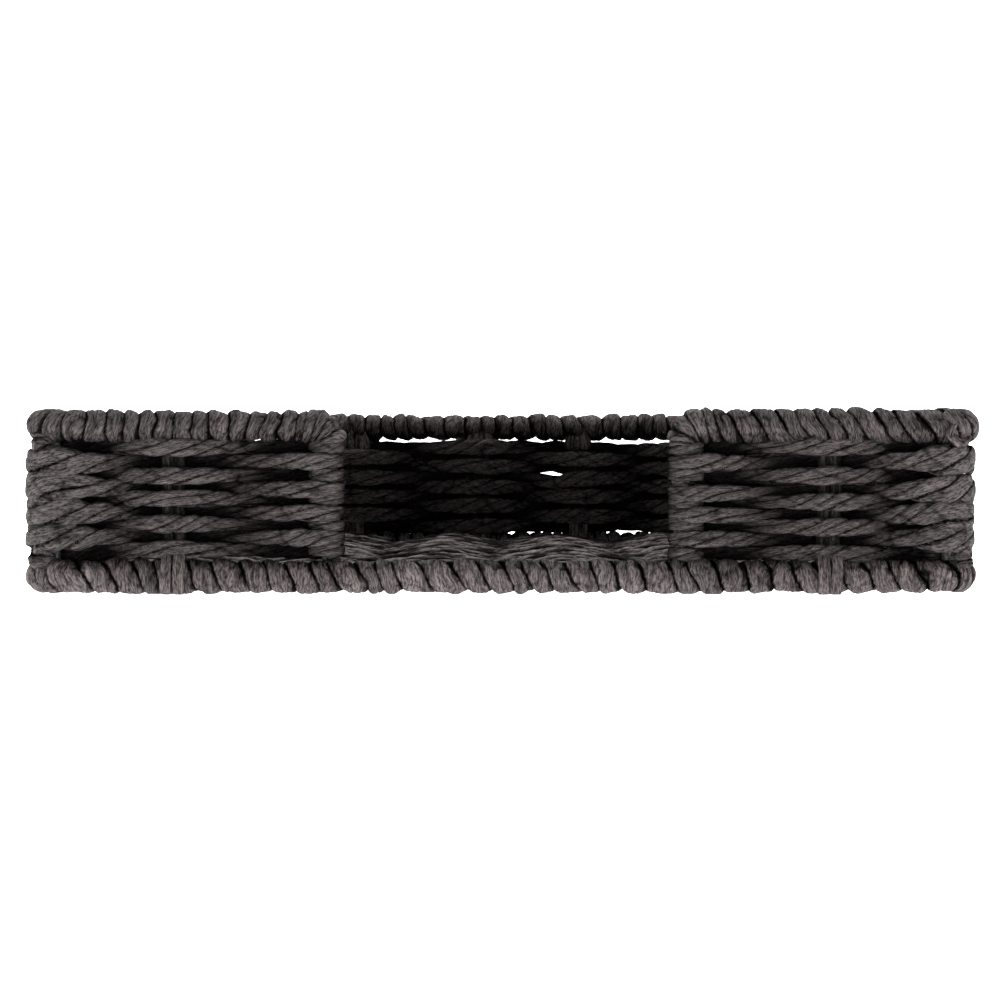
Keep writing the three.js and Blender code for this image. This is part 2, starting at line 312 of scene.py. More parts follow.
def twisted_rope(name, line, rng, material, replaces=(), step=0.42, around=44, up=UP, wall_dim=0.0,
                 floor_dim=0.0):
    """A rope of flattened paper plies of uneven width, laid up so that their seams rise to the right.

    wall_dim and floor_dim are how strongly a rope of the wall or the floor darkens where others hide it.
    """
    line, s = resample(line, step)
    side, upward = section_frame(line[:, :3], up)
    theta = np.arange(around) / around * TURN
    pace = np.minimum(ROPE_FULL[0] / line[:, 3], 1.0)  # slower where the rope is pressed tall
    turned_by = np.cumsum(pace) * (s[1] * TURN / ROPE_LAY)
    twist = turned_by + rng.uniform(0, TURN) + 1.3 * wave_noise(rng, s, 12.0)
    phi = (ply_angle(theta) - twist[:, None]) % TURN
    phi = phi + 0.2 * np.sin(phi)
    ply = phi * PLIES / TURN % 1.0  # across one ply, from seam to seam
    seam = np.minimum(ply, 1 - ply)
    along = np.broadcast_to(s[:, None], phi.shape)
    # Fibres lie closer to the rope's line than the seams do, and some wrinkles cross them.
    turned = (ply_angle(theta) - 0.5 * twist[:, None]) / TURN
    against = (ply_angle(theta) + 0.8 * twist[:, None]) / TURN
    fold = skin_noise(rng, along / 5.0, phi / TURN, 8)
    crease = ridges(rng, along / 6.0, turned, 14)
    cross = ridges(rng, along / 9.0, against, 6)
    fine = skin_noise(rng, along / 1.4, turned, 16)
    groove = np.exp(-((seam / SEAM_WIDTH) ** 2))
    r = 1 - PLY_CROWN + PLY_CROWN * np.sin(math.pi * ply) ** 0.7 - SEAM_DEPTH * groove
    # One edge of each ply laps over the next.
    r += LAP * np.cos(math.pi * ply) * np.exp(-((seam / 0.3) ** 2))
    r += FOLD_DEPTH * fold - CREASE_DEPTH * crease**6 - CROSS_DEPTH * cross**12 + 0.018 * fine
    r *= (1 + 0.08 * wave_noise(rng, s, 6.0))[:, None] * taper(s)[:, None]
    cos, sin = np.cos(theta), np.sin(theta)
    square = squarish(cos, sin, ROPE_SQUARENESS)
    x = line[:, 4:5] * r * cos * square
    y = line[:, 3:4] * r * sin * square
    reach = 2.2
    lay = np.stack([along, reach * np.cos(turned * TURN), reach * np.sin(turned * TURN)], -1)
    lay = lay + paper_place(rng)
    inside = wall_dim * inner_shade(line, side, x)
    # Painted shade: in creases and crossing wrinkles, beside each seam where a ply laps over the next, behind
    # the wall's outer face and on the flanks where rows meet, a little lighter on the tops of the ropes
    # there, and on the floor, with dark patches along its ropes.
    shade = np.clip(0.12 * crease**6 + 0.8 * cross**12, 0, 1) + 0.45 * np.clip(1 - (1 - ply) / 0.2, 0, 1)
    shade = shade * (1 - 0.7 * np.clip(inside, 0, 1))
    edge = np.clip((np.abs(y) / line[:, 3:4] - 0.76) / 0.22, 0, 1)
    shade = shade + inside * (1 - 0.14 * np.clip(sin, 0, 1)) + 0.55 * wall_dim * edge
    shade = shade + floor_dim * floor_shade(line, upward, y)
    shade = shade + 0.9 * floor_dim * np.clip(wave_noise(rng, s, 5.0), 0, 1)[:, None]
    shade = np.clip(shade, 0, 1)
    seam = np.sin(math.pi * ply) ** 2 + 0.08 * np.clip(inside, 0, 1)
    return skin(name, line[:, :3], side, upward, x, y, lay, seam, shade, material, replaces)


STRAND_SQUARENESS = 3


def flat_strand(name, line, rng, material, replaces=(), step=0.35, around=22, up=UP, wall_dim=0.0):
    """One strand of a stake: paper folded lengthwise, a little irregular, with wrinkles along it."""
    line, s = resample(line, step)
    side, upward = section_frame(line[:, :3], up)
    theta = np.arange(around) / around * TURN
    along = np.broadcast_to(s[:, None], (len(s), around))
    across = np.broadcast_to(theta / TURN, along.shape) + 0.02 * wave_noise(rng, s, 5.0)[:, None]
    fold = skin_noise(rng, along / 9.0, across, 9)
    crease = ridges(rng, along / 6.0, across, 14)
    r = 0.90 + 0.10 * fold - 0.14 * crease**6
    r = r * (1 + 0.07 * wave_noise(rng, s, 4.0))[:, None] * taper(s, 0.7)[:, None]
    cos, sin = np.cos(theta), np.sin(theta)
    square = squarish(cos, sin, STRAND_SQUARENESS)
    x = line[:, 4:5] * r * cos * square
    y = line[:, 3:4] * r * sin * square
    lay = np.stack([along, 1.4 * np.cos(theta) + 0 * along, 1.4 * np.sin(theta) + 0 * along], -1)
    lay = lay + paper_place(rng)
    # Painted shade: the strand is darker low down, where it wraps round the bottom rim.
    under_rim = 0.24 * np.clip((BOTTOM_Z + BOTTOM_RADIUS + 3 - line[:, 2:3]) / 2, 0, 1)
    shade = np.clip(0.6 * crease**6 + wall_dim * (inner_shade(line, side, x) + under_rim), 0, 1)
    whole = np.ones(x.shape)
    return skin(name, line[:, :3], side, upward, x, y, lay, whole, shade, material, replaces)


STRIP_THICK = 0.85  # how far a turn stands out from the winding's seams


def wound_strip(name, line, rng, leans, material, replaces=(), widths=(2.4, 5.0), up=UP, full=0.0,
                bends=(0, 0), inner_dim=0.0, dark_side=0, roundness=4.0):
    """Paper strip wound round a wire: turns of uneven width, rounded, creased and overlapping a little.

    leans is how far a seam moves on, in millimetres, while it climbs the outer side, at the line's two ends.
    full makes the whole winding thicker, and bends is how many more turns there are on a bend at each end.
    inner_dim paints shade on the inner side's lower half. dark_side is 1 or -1 to paint shade on the top or
    the bottom.
    roundness is 2 for turns that swell evenly from seam to seam, and more for flatter ones.
    """
    step, around = 0.22, 48
    line, s = resample(line, step)
    side, upward = section_frame(line[:, :3], up)
    theta = np.arange(around) / around * TURN
    outer = theta - math.pi  # 0 on the outer side of the ring
    edges = np.concatenate([[0], np.cumsum(rng.uniform(*widths, int(s[-1] / widths[0]) + 12))])
    mean = edges[-1] / (len(edges) - 1)
    lean = np.interp(s, [0, s[-1]], leans) + 1.0 * wave_noise(rng, s, 9.0)
    # A turn of strip moves on by its own width in going round; the rest of the lean swings to and fro.
    swing = (lean[:, None] - mean / 2) / 2 * np.sin(outer)
    flat = np.zeros((len(s), around))
    share = theta / TURN + flat
    waver = 0.45 * skin_noise(rng, (s / 2.6)[:, None] + flat, share, 7)
    turns = np.interp(s[:, None] + swing + waver + 6, edges, np.arange(len(edges)))
    packed = bends[0] * np.clip(s / 10, 0, 1) + bends[1] * np.clip((s - s[-1] + 10) / 10, 0, 1)
    phase = turns + packed[:, None] + outer / TURN
    number = np.floor(phase).astype(int)
    f = phase - number
    count = number.max() + 2

    def of_turns(values):
        """Each point's value: its turn's own, and further round more of the one that it runs on into."""
        return values[number] * (1 - share) + values[number - 1] * share

    size = of_turns(rng.uniform(0.6, 1.15, count))
    tilt = of_turns(rng.uniform(0.1, 1.0, count))
    opening = of_turns(rng.uniform(0, 1, count) ** 2.5)  # some turns stand apart from the one before
    tone = of_turns(rng.uniform(0, 0.22, count))
    swell = 1 - np.abs(2 * f - 1) ** roundness
    slip = skin_noise(rng, (s / 1.8)[:, None] + flat, share, 8)
    wrinkle = ridges(rng, turns * 4.0 + 0.3 * slip, share, 6)
    pleat = ridges(rng, turns * 9.0 + 0.5 * slip, share, 9)
    fine = skin_noise(rng, turns * 16.0, share, 22)
    fold = skin_noise(rng, turns * 3.0, share, 5)
    lump = skin_noise(rng, (s / 2.2)[:, None] + flat, share, 5)
    height = STRIP_THICK * size * swell + tilt * (f - 0.5) * 0.7 - 0.45 + full
    apart = opening * np.clip(1 - f / 0.26, 0, 1)
    height += 0.34 * lump + 0.16 * fold - 0.28 * wrinkle**8 - 0.10 * pleat**6 + 0.04 * fine - 0.35 * apart
    r = (line[:, 3:4] + height * taper(s, 1.0)[:, None]) * taper(s, 1.0)[:, None]
    x, y = r * np.cos(theta), r * np.sin(theta)
    lay = np.stack([3 * np.cos(theta) + flat, turns * mean + 0.3 * slip, 3 * np.sin(theta) + flat], -1)
    lay = lay + paper_place(rng)
    shade = 0.65 * wrinkle**8 + 0.3 * pleat**6 + 0.8 * np.clip(full - 0.1 - height, 0, 1) + tone + 1.1 * apart
    shade = shade + inner_dim * np.clip(np.cos(theta) + 0.3, 0, 1) * np.clip(0.35 - np.sin(theta), 0, 1)
    shade = shade + 0.45 * np.clip((dark_side * np.sin(theta) - 0.4) / 0.5, 0, 1)
    shade = np.clip(shade, 0, 1)
    seam = np.sin(math.pi * phase) ** 2
    return skin(name, line[:, :3], side, upward, x, y, lay, seam, shade, material, replaces)


def round_wire(name, line, material, replaces=(), around=20, up=UP):
    """Plain round wire."""
    line, s = resample(line, 0.8)
    side, upward = section_frame(line[:, :3], up)
    theta = np.arange(around) / around * TURN
    r = line[:, 3:4] * taper(s, 0.6)[:, None]
    x, y = r * np.cos(theta), r * np.sin(theta)
    lay = np.stack([s[:, None] + 0 * theta, x, y], -1)
    return skin(name, line[:, :3], side, upward, x, y, lay, 0 * x + 1, 0 * x, material, replaces)


# ---------------------------------------------------------------- materials
def node(tree, kind, inputs=None, **settings):
    made = tree.nodes.new(kind)
    for key, value in settings.items():
        setattr(made, key, value)
    for key, value in (inputs or {}).items():
        made.inputs[key].default_value = value
    return made


def new_material(name):
    material = bpy.data.materials.new(name)
    material.use_nodes = True
    tree = material.node_tree
    return material, tree, tree.nodes["Principled BSDF"]


def ramp(tree, factor, stops):
    made = node(tree, "ShaderNodeValToRGB")
    tree.links.new(factor, made.inputs["Fac"])
    elements = made.color_ramp.elements
    while len(elements) < len(stops):
        elements.new(0.5)
    for element, (at, colour) in zip(elements, stops):
        element.position = at
        element.color = (*colour, 1)
    return made.outputs["Color"]


THREAD_BUMP, FIBRE_BUMP = 0.8 * MM, 0.4 * MM


def paper(name, base, tint, round_wire_fibres=False):
    """Dyed paper, with fibres along the strand or round it, patches of browner dye, and painted shade in its
    seams and creases and wherever the shade attribute asks for it.
    """
    contrast = 1.0 if round_wire_fibres else 0.8
    material, tree, shader = new_material(name)
    link = tree.links.new
    attribute = {
        key: node(tree, "ShaderNodeAttribute", attribute_name=key).outputs
        for key in ("lay", "seam", "shade")
    }

    def noise(along, across, detail):
        """Noise on the paper, with its waves to the millimetre along and across the fibres."""
        third = along if round_wire_fibres else across
        mapping = node(tree, "ShaderNodeMapping", {"Scale": (along, across, third)})
        link(attribute["lay"]["Vector"], mapping.inputs["Vector"])
        made = node(tree, "ShaderNodeTexNoise", {"Scale": 1.0, "Detail": detail, "Roughness": 0.65})
        link(mapping.outputs["Vector"], made.inputs["Vector"])
        return made.outputs["Fac"]

    def spread(value, low, high, to_low, to_high):
        made = node(tree, "ShaderNodeMapRange",
                    {"From Min": low, "From Max": high, "To Min": to_low, "To Max": to_high})
        link(value, made.inputs["Value"])
        return made.outputs["Result"]

    def math_node(operation, a, b=None):
        made = node(tree, "ShaderNodeMath", operation=operation)
        for socket, value in zip(made.inputs, (a, b)):
            if isinstance(value, float):
                socket.default_value = value
            elif value is not None:
                link(value, socket)
        return made.outputs["Value"]

    fibre = noise(0.95 if round_wire_fibres else 0.85, 3.6, 5.0)
    thread = noise(0.16, 1.6, 3.0)
    patch = noise(0.10, 0.35, 2.0)
    crack = noise(0.12, 1.1, 3.0)
    dark = tuple((1 - 0.40 * contrast) * c for c in base)
    light = tuple((1 + 0.45 * contrast) * c for c in base)
    streaks = ramp(tree, thread, [(0.36, dark), (0.50, base), (0.64, light)])
    dye = ramp(tree, patch, [(0.30, tuple(0.85 * c for c in base)), (0.70, tint)])
    mix = node(tree, "ShaderNodeMix", {"Factor": 0.35}, data_type="RGBA")
    link(streaks, mix.inputs["A"])
    link(dye, mix.inputs["B"])

    # Painted shade in the seams, whose edges waver with the fibres, and as much as the shade attribute asks;
    # darker too in the creases between fibres.
    near = math_node("ADD", math_node("SQRT", attribute["seam"]["Fac"]), spread(fibre, 0.3, 0.7, -0.07, 0.07))
    seam = spread(near, 0.09, 0.32, 0.01, 1.0)
    crease = spread(attribute["shade"]["Fac"], 0.0, 1.0, 1.0, 0.06)
    grain = spread(fibre, 0.40, 0.58, 0.36, 1.42)
    split = spread(math_node("ABSOLUTE", math_node("SUBTRACT", crack, 0.5)), 0.0, 0.025, 0.35, 1.0)
    depth = math_node("MULTIPLY", math_node("MULTIPLY", seam, crease), math_node("MULTIPLY", grain, split))
    creased = node(tree, "ShaderNodeMix", {"Factor": 1.0}, data_type="RGBA", blend_type="MULTIPLY")
    link(mix.outputs["Result"], creased.inputs["A"])
    link(depth, creased.inputs["B"])
    link(creased.outputs["Result"], shader.inputs["Base Color"])
    link(spread(fibre, 0.2, 0.8, 0.70, 0.95), shader.inputs["Roughness"])
    # Less specular reflection where the colour is darker, so the painted shade takes away the reflection too.
    link(spread(depth, 0.0, 1.0, 0.0, 0.22), shader.inputs["Specular IOR Level"])

    coarse = node(tree, "ShaderNodeBump", {"Strength": 1.0, "Distance": THREAD_BUMP})
    link(thread, coarse.inputs["Height"])
    bump = node(tree, "ShaderNodeBump", {"Strength": 1.0, "Distance": FIBRE_BUMP})
    link(fibre, bump.inputs["Height"])
    link(coarse.outputs["Normal"], bump.inputs["Normal"])
    link(bump.outputs["Normal"], shader.inputs["Normal"])
    return material


def coated_wire():
    material, tree, shader = new_material("coated_wire")
    coords = node(tree, "ShaderNodeTexCoord").outputs["Object"]
    grain = node(tree, "ShaderNodeTexNoise", {"Scale": 900.0, "Detail": 4.0})
    tree.links.new(coords, grain.inputs["Vector"])
    colour = ramp(tree, grain.outputs["Fac"], [(0.35, (0.018, 0.018, 0.019)), (0.7, (0.04, 0.04, 0.042))])
    tree.links.new(colour, shader.inputs["Base Color"])
    rough = node(tree, "ShaderNodeMapRange", {"To Min": 0.35, "To Max": 0.6})
    tree.links.new(grain.outputs["Fac"], rough.inputs["Value"])
    tree.links.new(rough.outputs["Result"], shader.inputs["Roughness"])
    shader.inputs["Metallic"].default_value = 0.4
    return material


rope_paper = paper("rope_paper", (0.072, 0.062, 0.061), (0.084, 0.070, 0.069))
# The floor's ropes use the wall's rope paper made lighter: painted light, for the overhead light that falls
# on the floor.
pale_rope_paper = paper("pale_rope_paper", (0.140, 0.119, 0.118), (0.165, 0.136, 0.134))
strip_paper = paper("strip_paper", (0.078, 0.066, 0.0655), (0.089, 0.074, 0.073), round_wire_fibres=True)
# The bottom rim's paper is strip_paper made lighter: painted light, for the light that the glowing floor
# throws up on the bottom rim.
pale_strip_paper = paper("pale_strip_paper", (0.126, 0.107, 0.106), (0.143, 0.118, 0.116),
                         round_wire_fibres=True)
stake_paper = paper("stake_paper", (0.165, 0.140, 0.137), (0.182, 0.152, 0.149))
wire_coat = coated_wire()


# ---------------------------------------------------------------- rims and wires
def rim_line(square, z, s0, s1, half):
    s = np.arange(s0, s1, 0.5)
    xy = square.at(s)
    return np.column_stack([xy, np.full(len(s), z), np.full((len(s), 2), half)])


def post_bend(x, inward, half, foot):
    """The rim's end from its foot up round the bend, ready to join the rim. inward is +1 at the left."""
    angle = np.linspace(0, TURN / 4, 9)
    share = np.linspace(0, 1, 9)
    bend = np.column_stack([
        x - inward * POST_BEND * (1 - np.cos(angle)),
        -WALL_HALF - (TOP_HALF - WALL_HALF) * share,
        TOP_Z - POST_BEND + POST_BEND * np.sin(angle),
    ])
    points = np.vstack([[x, -WALL_HALF, foot], bend])
    return np.column_stack([points, np.full((len(points), 2), half)])


def top_rim_line(half, foot):
    s0 = top_rim.place("front", GAP_LEFT - POST_BEND - 0.5)
    s1 = top_rim.place("front", GAP_RIGHT + POST_BEND + 0.5)
    left = post_bend(GAP_LEFT, 1, half, foot)
    right = post_bend(GAP_RIGHT, -1, half, foot)[::-1]
    return np.vstack([left, rim_line(top_rim, TOP_Z, s0, s1, half), right])


def bottom_rim_line(half, lap):
    """The bottom rim from the middle of the back all the way round, and lap millimetres further."""
    start = bottom_rim.place("back", 0.0)
    return rim_line(bottom_rim, BOTTOM_Z, start, start + bottom_rim.length + lap, half)


def split_line(line, places):
    """Pieces of a line between the given shares of its length, each running a little way into the next."""
    line, s = resample(line, 0.5)
    marks = [int(round(p * (len(s) - 1))) for p in places]
    return [line[a:b + 4] for a, b in zip(marks, marks[1:])]


def make_wires():
    post_foot = box_mm("top_rim_wire")[0][2]
    round_wire("top_wire", top_rim_line(WIRE_RADIUS, post_foot), wire_coat, ["top_rim_wire"],
               up=np.array([0.3, -0.15, 1.0]))
    round_wire("bottom_wire", bottom_rim_line(WIRE_RADIUS, 0.4), wire_coat, ["bottom_rim_wire"])
    for name in sorted(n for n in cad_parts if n.startswith("corner_post_")):
        x, y, _ = middle(name)
        low, high = box_mm(name)
        ends = [[x, y, low[2] - BOTTOM_RADIUS, WIRE_RADIUS, WIRE_RADIUS],
                [x, y, high[2] + TOP_RADIUS, WIRE_RADIUS, WIRE_RADIUS]]
        round_wire(name.replace("corner_post", "post"), np.array(ends), wire_coat, [name],
                   up=np.array([1.0, 0.0, 0.0]))


# Windings of the top rim from its left-hand foot to its right-hand one: name, the share of the rim where it
# ends, leans, more turns on a bend at each end, least and greatest width of a turn, and fullness.
TOP_WINDINGS = [
    ("front_left", 0.13, (-0.3, 0.5), (2.4, 0), (2.6, 4.8), 0.12),
    ("left", 0.36, (1.5, 2.5), (0, 0), (2.6, 4.8), 0.12),
    ("back", 0.64, (3.0, 3.0), (0, 0), (3.2, 6.0), 0.12),
    ("right", 0.87, (3.0, 4.0), (0, 0), (2.8, 5.6), 0.3),
    ("front_right", 1, (4.6, 4.2), (0, 2.4), (3.2, 5.8), 0.3),
]
# Windings of the bottom rim: name, the share where it ends, widths, fullness and roundness.
BOTTOM_WINDINGS = [
    ("back_right", 0.17, (3.0, 4.6), 0.6, 2.2),
    ("right", 0.34, (3.2, 6.8), 0.25, 4.0),
    ("front", 0.66, (3.2, 6.8), 0.25, 4.0),
    ("left", 0.83, (3.2, 6.8), 0.25, 4.0),
    ("back_left", 1, (3.0, 4.6), 0.6, 2.2),
]


def make_rim_windings():
    rng = np.random.default_rng(11)
    top = top_rim_line(TOP_RADIUS, TOP_Z - TOP_RADIUS - 1.0)
    from_right_corner = (top[:, 0] - TOP_HALF) ** 2 + (top[:, 1] + TOP_HALF) ** 2
    top[:, 0] += 0.9 * np.exp(-from_right_corner / 80)  # the front right corner is bent out a little
    parts = split_line(top, [0] + [winding[1] for winding in TOP_WINDINGS])
    for part, (name, _, leans, bends, widths, full) in zip(parts, TOP_WINDINGS):
        wound_strip("top_winding_" + name, part, rng, leans, strip_paper, ["top_rim_wrap"],
                    widths=widths, full=full, bends=bends, inner_dim=0.6, dark_side=-1)
    parts = split_line(bottom_rim_line(BOTTOM_RADIUS, 2.4), [0] + [winding[1] for winding in BOTTOM_WINDINGS])
    for part, (name, _, widths, full, roundness) in zip(parts, BOTTOM_WINDINGS):
        wound_strip("bottom_winding_" + name, part, rng, (3.0, 3.4), pale_strip_paper,
                    ["bottom_rim_wrap"], widths=widths, full=full, dark_side=1, roundness=roundness)


def make_strip_end():
    """The crumpled end of the top winding, tucked into itself at the right-hand front corner."""
    rng = np.random.default_rng(21)
    x, y = TOP_HALF - 3.5, -TOP_HALF - TOP_RADIUS + 0.3
    path = [[x - 1.5, y + 0.5, TOP_Z + 2.4], [x, y - 0.2, TOP_Z + 1.6], [x + 1.1, y + 0.1, TOP_Z + 0.4],
            [x + 0.2, y - 0.3, TOP_Z - 0.7], [x - 0.5, y, TOP_Z - 1.8], [x + 0.9, y + 0.5, TOP_Z - 2.8],
            [x + 2.3, y + 1.8, TOP_Z - 3.5]]
    line = np.column_stack([path, np.tile((0.7, 1.5), (len(path), 1))])
    line = soften(resample(line, 0.3)[0], 4)
    flat_strand("strip_end", line, rng, strip_paper, ["top_rim_wrap"],
                up=np.array([1.0, 0.0, 0.3]))


GAP_POST_WINDING = 1.6  # radius over the strip on a post of the hand gap


def make_post_windings():
    """The uprights are wound as the rims are, with the strip lying nearly level.

    A corner's winding is thicker and further out at its two ends, beside the ropes that pass inside it.
    """
    places = {"gap_left": (GAP_LEFT, -WALL_HALF), "gap_right": (GAP_RIGHT, -WALL_HALF)}
    for name in sorted(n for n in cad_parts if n.startswith("corner_post_")):
        x, y, _ = middle(name)
        places[name.replace("corner_post_", "")] = (x, y)
    for number, (name, (x, y)) in enumerate(places.items()):
        rng = np.random.default_rng(50 + number)
        z = np.array([BOTTOM_Z + 1, BOTTOM_Z + 4.6, BOTTOM_Z + 6.2, TOP_Z - 5.6, TOP_Z - 4, TOP_Z - 1])
        if "gap" in name:
            radius = np.full(len(z), GAP_POST_WINDING)
            out = np.zeros(len(z))
            inward = np.array([0.0, 1.0, 0.0])
        else:
            radius = np.array([2.8, 2.8, 2.2, 2.2, 2.8, 2.8])
            out = np.array([2.2, 2.2, 0.8, 0.8, 2.0, 2.0])
            inward = np.array([-x, -y, 0.0])
        line = np.column_stack([x + out * np.sign(x), np.full(len(z), y), z, radius, radius])
        wound_strip("post_winding_" + name, line, rng, (0.5, 0.5), strip_paper,
                    widths=(2.0, 3.4), up=inward)


# ---------------------------------------------------------------- wall weaving
ROPE_FULL = (2.02, 1.4)  # half height and half thickness where a rope passes a stake
ROPE_CROSSING = (1.5, 1.5)  # squeezed between its neighbours
ROPE_FULL_ELSEWHERE = (2.3, 1.45)  # the same two away from the front panels
ROPE_CROSSING_ELSEWHERE = (1.8, 1.6)
ROPE_CORNER = (3.2, 1.2)  # pressed flat round a corner post
ROPE_ROUND_POST = (1.45, 0.7)
STAKE_SWING = 2.35  # how far a rope passes in front of or behind a stake's middle
POST_SWING = 2.9
STAKE_GRIP = 2.2  # half of the length in which it lies flat there
POST_GRIP = 1.5
ROWS = 9
# Heights of the rows on the two front panels, from the top, and what is added to them at the front corners.
LEFT_PANEL_Z = [30.8, 27.6, 24.7, 22.0, 20.1, 17.1, 14.7, 11.8, 9.4]
RIGHT_PANEL_Z = [30.7, 27.4, 24.6, 21.1, 19.0, 16.4, 14.1, 11.6, 8.4]
LEFT_CORNER_LIFT = [0.3, -0.3, 0.1, 0.25, 0, 0, 0, 0.25, -1.5]
RIGHT_CORNER_LIFT = [0.3, 0.3, 0.3, 1.15, 0.3, 0.3, 0, 0.1, -1.0]


def crossings():
    """(s, half length that a rope lies flat, swing) of all that a row crosses, from the left post."""
    found = [(wall.place("front", GAP_LEFT), POST_GRIP, POST_SWING)]
    for side in SIDES:
        for name in stake_nodes(side):
            x, y, _ = middle(name)
            found.append((wall.place(side, x if side in ("front", "back") else y), STAKE_GRIP, STAKE_SWING))
    for corner in range(4):
        found.append(((corner + 0.5) * wall.side, wall.arc / 2, POST_SWING))
    found.append((wall.place("front", GAP_RIGHT), POST_GRIP, POST_SWING))
    return sorted(found)


def row_height(row, s, rng):
    """A row's height at distances s: as woven on the two front panels, and even elsewhere."""
    even = box_mm(f"wall_weaver_{row + 1}")
    even = (even[0][2] + even[1][2]) / 2
    side = wall.side
    marks = [0, 0.55 * side, 0.9 * side, 3.1 * side, 3.45 * side, 4 * side]
    left, right = LEFT_PANEL_Z[row], RIGHT_PANEL_Z[row]
    z = np.interp(s, marks, [left, left, even, even, right, right])
    for corner, lift in ((0.5 * side, LEFT_CORNER_LIFT[row]), (3.5 * side, RIGHT_CORNER_LIFT[row])):
        z = z + lift * np.clip(1 - np.abs(s - corner) / 22, 0, 1)
    back_right = np.exp(-(((s - wall.place("back", 34)) / 20) ** 2))
    z = z - 0.9 * (1 - row / (ROWS - 1)) ** 2 * back_right
    if row == 0:  # a gap under the back rim
        z = z - 0.4 * np.exp(-(((s - wall.place("back", -23)) / 13) ** 2))
    if row in (2, 3):  # two rows of the back stand apart beside a stake
        z = z + (1.25 if row == 2 else -1.25) * np.exp(-(((s - wall.place("back", 14)) / 4) ** 2))
    if row == ROWS - 1:  # and gaps over the bottom rim, at the back
        z = z - 0.35 * ((s > side) & (s < 3 * side))
        z = z + 0.5 * np.exp(-(((s - wall.place("back", 18)) / 26) ** 4))
    return z + 0.28 * wave_noise(rng, s, 23.0)


def post_loop(x, inward, outside, z):
    """A rope's end round a post of the hand gap, in order towards the rest of the row.

    A row that comes along outside turns in round the post and ends behind it. One that comes along inside
    turns out round it, and its end is tucked back into the wall.
    """
    reach = GAP_POST_WINDING + 0.7
    front = 1 if outside else -1
    angle = np.linspace(math.pi / 2, -math.pi / 2, 9) * front
    circle = np.column_stack([x + inward * reach * np.cos(angle), -WALL_HALF + reach * np.sin(angle)])
    tuck = [[x - inward * 4.6, -WALL_HALF + front * 0.2], [x - inward * 3.4, -WALL_HALF + front * 1.6],
            [x - inward * 1.8, -WALL_HALF + front * (reach - 0.1)]]
    xy = np.vstack([tuck, circle])
    half = np.tile(ROPE_ROUND_POST, (len(xy), 1))
    return np.column_stack([xy, np.full(len(xy), z), half])


def wall_row_line(row, rng):
    marks = crossings()
    knots, offsets = [], []
    for i, (s, grip, swing) in enumerate(marks):
        sign = -1 if (i + row) % 2 == 0 else 1
        knots += [s - grip, s + grip]
        offsets += [sign * swing] * 2
    s = np.arange(marks[0][0] + 2.6, marks[-1][0] - 2.6, 0.5)
    offset = np.interp(s, knots, offsets)
    window = np.hanning(15)
    padded = np.pad(offset, 7, mode="edge")
    offset = np.convolve(padded, window / window.sum(), mode="valid")
    # The weave is fuller at the left-hand front corner.
    offset = offset + 0.5 * np.exp(-(((s - 0.5 * wall.side) / 7) ** 2))
    out = np.clip(np.abs(offset) / STAKE_SWING, 0, 1)[:, None]
    at_front = (np.abs(s - 2 * wall.side) > 1.6 * wall.side)[:, None]
    half = np.where(at_front, ROPE_CROSSING, ROPE_CROSSING_ELSEWHERE) * (1 - out)
    half = half + np.where(at_front, ROPE_FULL, ROPE_FULL_ELSEWHERE) * out
    from_corner = np.abs((s / wall.side) % 1.0 - 0.5) * wall.side
    pressed = (np.clip(1.7 - from_corner / 5.0, 0, 1) * out[:, 0])[:, None]
    half = half * (1 - pressed) + np.array(ROPE_CORNER) * pressed
    z = row_height(row, s, rng)
    wave = np.column_stack([wall.at(s, offset), z, half])
    outside = row % 2 == 1
    left = post_loop(GAP_LEFT, 1, outside, z[0])
    right = post_loop(GAP_RIGHT, -1, outside, z[-1])[::-1]
    line, _ = resample(np.vstack([left, wave, right]), 0.45)
    return soften(line, 3)


def make_wall_ropes():
    for row in range(ROWS):
        rng = np.random.default_rng(100 + row)
        twisted_rope(f"wall_rope_{row + 1}", wall_row_line(row, rng), rng, rope_paper,
                     [f"wall_weaver_{row + 1}"], wall_dim=0.98)


# ---------------------------------------------------------------- floor weaving
FLOOR_ROPE = (1.35, 2.15)
FLOOR_ROPE_CROSSING = (1.6, 1.75)
FLOOR_SWING = 2.3
FLOOR_ROPES = 5
FLOOR_ROWS = 10  # of each rope
FLOOR_ROPE_HALF = 1.65  # as the frame has it
FLOOR_TURN, FLOOR_CORNER_TURN = 89.3, 86.5  # x of a rope's turns, and of those beside the rounded corners


def floor_stake_places():
    return sorted(middle(n)[0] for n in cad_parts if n.startswith("floor_stake_"))


